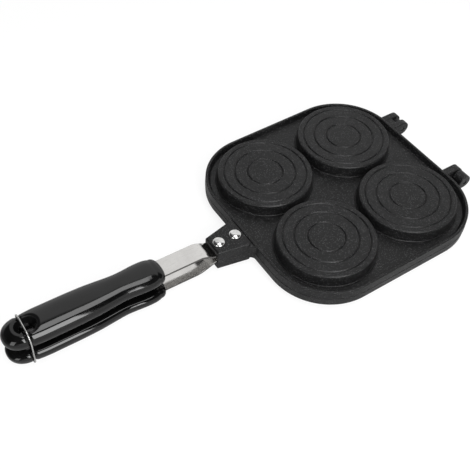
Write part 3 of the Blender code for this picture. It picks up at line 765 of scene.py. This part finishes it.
def gripSizes(size):
    # Place, half width and half height down the grip: a table between two rounded ends of
    # width = (1 - s^p)^(1/p), with a shallow neck of half a cosine wave for the ring
    table = np.array(size["shares"])
    nose, tip, last = size["noseDepth"] / size["length"], size["noseAhead"] / size["length"], size["endShare"]
    body = np.linspace(nose, last, size["bodyPoints"])
    ahead = np.sin(quarterTurn(size["noseSteps"])[1:-1])[::-1]
    swing = np.sin(quarterTurn(size["endSteps"])[1:-1])
    share = np.concatenate([nose - (nose + tip) * ahead, body, last + (1 - last) * swing])
    fade = np.concatenate([
        (1 - ahead ** size["nosePower"]) ** (1 / size["nosePower"]),
        np.ones(len(body)),
        (1 - swing ** size["endPower"]) ** (1 / size["endPower"]),
    ])
    away = (share - size["neck"]["place"]) * size["length"] / size["neck"]["reach"]
    fade = fade * (1 - size["neck"]["depth"] * 0.5 * (1 + np.cos(np.pi * np.clip(away, -1, 1))))
    within = np.clip(share, nose, last)
    wide = smoothCurve(table[:, 0], table[:, 1], within) * fade * size["halfWidth"]
    tall = smoothCurve(table[:, 0], table[:, 2], within) * fade * size["halfHeight"]
    return size["start"] + size["length"] * share, wide, tall


def ovalLoop(length, width, steps):
    # Two half circles of the given width, with straight sides between them
    half = (length - width) / 2
    return np.concatenate([
        arcPoints((half, 0), width / 2, -0.25, 0.25, steps),
        arcPoints((-half, 0), width / 2, 0.25, 0.75, steps),
    ])


def hangingHole(size, side):
    # Opening = slot + (dish - slot) * (1 - depth share)^power: steep walls that narrow to a slot right
    # through the grip. The cut starts a share of the depth above the surface.
    hole = size["hole"]
    x = size["start"] + size["length"] * hole["place"]
    middle = handleLine(x, side * handles["offset"])
    through = (2 * size["halfHeight"] + shared["cut"]) / hole["depth"]
    depth = np.concatenate([[-hole["above"]], np.linspace(0, 1, hole["points"]), [through]])
    flare = np.clip(1 - depth, 0, None) ** hole["power"]
    rings = []
    for down, share in zip(depth, flare):
        length, width = (b + (a - b) * share for a, b in zip(hole["dish"], hole["through"]))
        loop = ovalLoop(length, width, hole["arcSteps"])
        z = middle + side * (size["halfHeight"] - down * hole["depth"])
        rings.append(np.column_stack([loop[:, 0] + x, loop[:, 1], np.full(len(loop), z)]))
    return gridMesh("hangingHole", np.array(rings))


def slotMesh(size, band, side):
    # Straight slot for the strap's tang, along the line of the handle
    x = np.array([size["start"] - size["slotLead"], band["end"] + size["slotClear"]])[:, None]
    wide, tall = band["width"] / 2 + size["slotClear"], band["thickness"] / 2 + size["slotClear"]
    section = np.array(corners) * (wide, tall)
    z = handleLine(x, side * band["offset"][side]) + section[:, 1]
    x, y = np.broadcast_to(x, z.shape), np.broadcast_to(section[:, 0], z.shape)
    return gridMesh("slot", np.stack([x, y, z], axis=-1))


def gripMesh(size, band, side):
    # Point = (x, half width * c, middle + half height * s) on a superellipse of the given power.
    # The inner half, which faces the other grip, is flatter: its own power and a share of the height.
    # Round the hanging hole the outer half dips by depth * t^2, with t from 1 at the dish to 0 at its reach.
    x, wide, tall = gripSizes(size)
    angle = np.linspace(0, 2 * np.pi, size["sides"], endpoint=False)
    c, s = np.cos(angle), np.sin(angle)
    inner = s * side < 0
    power = np.where(inner, size["inner"]["power"], size["power"])
    reach = (np.abs(c) ** power + np.abs(s) ** power) ** (-1 / power)
    rise = reach * s * np.where(inner, size["inner"]["height"], 1)
    middle = handleLine(x, side * handles["offset"])
    grid = np.stack([
        np.broadcast_to(x[:, None], (len(x), len(angle))),
        wide[:, None] * (reach * c),
        middle[:, None] + tall[:, None] * rise,
    ], axis=-1)
    hole, lip = size["hole"], size["hole"]["lip"]
    straight = (hole["dish"][0] - hole["dish"][1]) / 2
    along = np.maximum(np.abs(x - size["start"] - size["length"] * hole["place"]) - straight, 0)
    away = np.hypot(along[:, None], grid[..., 1]) - hole["dish"][1] / 2
    grid[..., 2] -= side * lip["depth"] * np.clip(1 - away / lip["reach"], 0, 1) ** 2 * ~inner
    return carved("grip", gridMesh("grip", grid), [
        ("DIFFERENCE", slotMesh(size, band, side)),
        ("DIFFERENCE", hangingHole(size, side)),
    ])


def pinMesh(size, side):
    # Plain pin with small chamfers, turned and laid along y
    half, chamfer, edge = size["width"] / 2 - size["recess"], size["pinChamfer"], size["pin"]
    radius = np.array([shared["pole"], edge - chamfer, edge, edge, edge - chamfer, shared["pole"]])
    height = np.array([half, half, half - chamfer, chamfer - half, -half, -half])
    place = np.array([size["x"], side * size["spacing"] / 2, 0])
    return gridMesh("pin", upright(turnedGrid(radius, height, shared["holeSides"])) + place)


for half, side in halves:
    body = half + "_half"
    for number, x in enumerate(rivet["x"], 1):
        mesh = placed(rivetMesh(casting, bracket, strap, rivet, x, side), f"{half}Rivet{number}", side)
        addPiece(mesh.name, mesh, f"{half}_rivet_{number}", body, rivetMaterial)
    mesh = placed(strapMesh(casting, bracket, strap, rivet, side), half + "Strap")
    addPiece(mesh.name, mesh, half + "_strap", body, strapMaterial)
    mesh = placed(gripMesh(grip, strap, side), half + "Grip")
    addPiece(mesh.name, mesh, half + "_grip", body, gripMaterial, weighted=False)
for number, side in ((1, -1), (2, 1)):
    mesh = placed(pinMesh(hinge, side), f"hingePin{number}")
    addPiece(mesh.name, mesh, f"hinge_pin_{number}", "upper_half", pinMaterial)
print("rivets, straps, grips and hinge pins made")

# The wire clears a grip of these half sizes at its neck
ring = {
    "half": (0.01373, 0.00836), "clear": 0.0003, "wire": 0.00060, "sides": 16,
    "cornerShare": 0.62, "cornerSteps": 32,
}


def ringMesh(size, hold):
    # Middle line: a rounded rectangle square to the handles; point = middle + wire radius round the line
    wide = size["half"][0] + size["clear"] + size["wire"]
    tall = handles["offset"] + size["half"][1] + size["clear"] + size["wire"]
    path = roundedLoop(wide, tall, wide * size["cornerShare"], size["cornerSteps"])
    along = unit(np.roll(path, -1, axis=0) - np.roll(path, 1, axis=0))
    lean = math.atan(handles["slope"])
    forward, across = np.array([math.cos(lean), 0, math.sin(lean)]), np.array([0, 1, 0])
    up = np.array([-math.sin(lean), 0, math.cos(lean)])
    x = hold["start"] + hold["length"] * hold["neck"]["place"]
    centre = np.array([x, 0, handleLine(x, 0)])
    middle = centre + path[:, :1] * across + path[:, 1:] * up
    normal = along[:, 1:] * across - along[:, :1] * up
    angle = np.linspace(0, 2 * np.pi, size["sides"], endpoint=False)
    grid = middle[:, None] + size["wire"] * (
        np.cos(angle)[None, :, None] * normal[:, None] + np.sin(angle)[None, :, None] * forward
    )
    return gridMesh("ring", grid, closed=True)


ringPiece = placed(ringMesh(ring, grip), "closingRing")
addPiece("closingRing", ringPiece, "closing_ring", "closing_ring", wireMaterial, weighted=False)
print("closing ring made")

studio = {
    "worldGlow": 0.45,  # light from all round on the object
    "seen": 1.0,  # white behind it, and in its reflections
    "darkRoom": 0.06,  # what it mirrors where there is no paper
    # Each ramp: the parts of the direction's unit vector at which it is 0 and 1, or has the values after them
    "paperTop": (0.46, 0.30),  # on Z: where the low paper ends
    "paperEnd": (0.70, 0.30, 0.15, 1.0),  # on X: the low paper darkens towards the handle end
    "backWay": (-0.56, -0.83, 0.0), "paperBack": (0.28, 0.42),  # along backWay: the high paper begins
    "paperSide": (0.14, -0.06),  # on X: where the high paper ends, towards the handle end
    "floorHalf": 3.0, "floorDrop": 0.0002, "floorRoughness": 0.9,
    "floorTone": 0.16, "floorGlow": 0.85,  # as the camera sees it
    "floorPaper": 0.56,  # as reflections and bounced light see it, shadows included
    "lamps": (
        # name, place, aim, width, height, watts
        ("topSoftbox", (-0.07, 0.08, 1.04), (-0.07, 0.08, 0.0), 0.50, 0.46, 3.5),
        ("nearSoftbox", (0.085, 0.77, 0.68), (0.16, 0.01, 0.036), 0.40, 0.73, 8.4),
        ("endSoftbox", (0.98, 0.45, 0.49), (0.206, 0.01, 0.036), 0.42, 0.75, 3.3),
    ),
}


def makeWorld(look):
    # White paper low down all round and up behind the object, a darker room elsewhere in reflections.
    # Paper = the larger of (ramp on Z * ramp on X) and (ramp along backWay * ramp on X).
    world = bpy.data.worlds.new("studioWorld")
    world.use_nodes = True
    tree = world.node_tree
    background = tree.nodes["Background"]
    background.inputs["Color"].default_value = (1, 1, 1, 1)
    place = addNode(tree, "ShaderNodeTexCoord").outputs["Generated"]
    way = addNode(tree, "ShaderNodeSeparateXYZ")
    tree.links.new(place, way.inputs["Vector"])
    along = addNode(tree, "ShaderNodeVectorMath", operation="DOT_PRODUCT")
    along.inputs[1].default_value = look["backWay"]
    tree.links.new(place, along.inputs[0])
    ramps = [
        rampFrom(tree, source, *look[label])
        for source, label in (
            (way.outputs["Z"], "paperTop"), (way.outputs["X"], "paperEnd"),
            (along.outputs["Value"], "paperBack"), (way.outputs["X"], "paperSide"),
        )
    ]
    low, high = (combined(tree, "MULTIPLY", *pair) for pair in (ramps[:2], ramps[2:]))
    paper = combined(tree, "MAXIMUM", low, high)
    mirrored = rampFrom(tree, paper, 0, 1, look["darkRoom"], look["seen"])
    ways = addNode(tree, "ShaderNodeLightPath").outputs
    direct = combined(tree, "MAXIMUM", ways["Is Camera Ray"], ways["Is Transmission Ray"])
    plain = rampFrom(tree, direct, 0, 1, look["worldGlow"], look["seen"])
    choose = addNode(tree, "ShaderNodeMix", data_type="FLOAT")
    tree.links.new(ways["Is Glossy Ray"], choose.inputs["Factor"])
    tree.links.new(plain, choose.inputs["A"])
    tree.links.new(mirrored, choose.inputs["B"])
    tree.links.new(choose.outputs["Result"], background.inputs["Strength"])
    bpy.context.scene.world = world


def makeFloor(look):
    # Pale paper: glowing and dark to the camera, so that it is near white and keeps the shadow, and lit
    # paper to every other ray
    points = np.array([(*corner, 0) for corner in corners]) * look["floorHalf"]
    floor = bpy.data.objects.new("studioFloor", makeMesh("studioFloor", points, [(0, 1, 2, 3)]))
    floor.location.z = -look["floorDrop"]
    bpy.context.scene.collection.objects.link(floor)
    material, tree, shader = newMaterial("floorPaper")
    shader.inputs["Roughness"].default_value = look["floorRoughness"]
    shader.inputs["Specular IOR Level"].default_value = 0.0
    shader.inputs["Emission Color"].default_value = (1, 1, 1, 1)
    ways = addNode(tree, "ShaderNodeLightPath").outputs
    direct = combined(tree, "MAXIMUM", ways["Is Camera Ray"], ways["Is Transmission Ray"])
    tree.links.new(rampFrom(tree, direct, 0, 1, 0, look["floorGlow"]), shader.inputs["Emission Strength"])
    paper, seen = [(look[label],) * 3 for label in ("floorPaper", "floorTone")]
    tree.links.new(mixColours(tree, direct, paper, seen), shader.inputs["Base Color"])
    floor.data.materials.append(material)


def makeLamps(look):
    for name, place, aim, width, height, power in look["lamps"]:
        lamp = bpy.data.lights.new(name, "AREA")
        lamp.shape = "RECTANGLE"
        lamp.size, lamp.size_y = width, height
        lamp.energy = power
        item = bpy.data.objects.new(name, lamp)
        item.location = place
        way = np.array(aim) - np.array(place)
        flat = math.hypot(way[0], way[1])
        item.rotation_euler = (math.atan2(flat, -way[2]), 0, math.atan2(way[1], way[0]) - math.pi / 2)
        item.visible_camera = False
        bpy.context.scene.collection.objects.link(item)


makeWorld(studio)
makeFloor(studio)
makeLamps(studio)
bpy.context.scene.view_settings.view_transform = "Standard"
print("studio set")
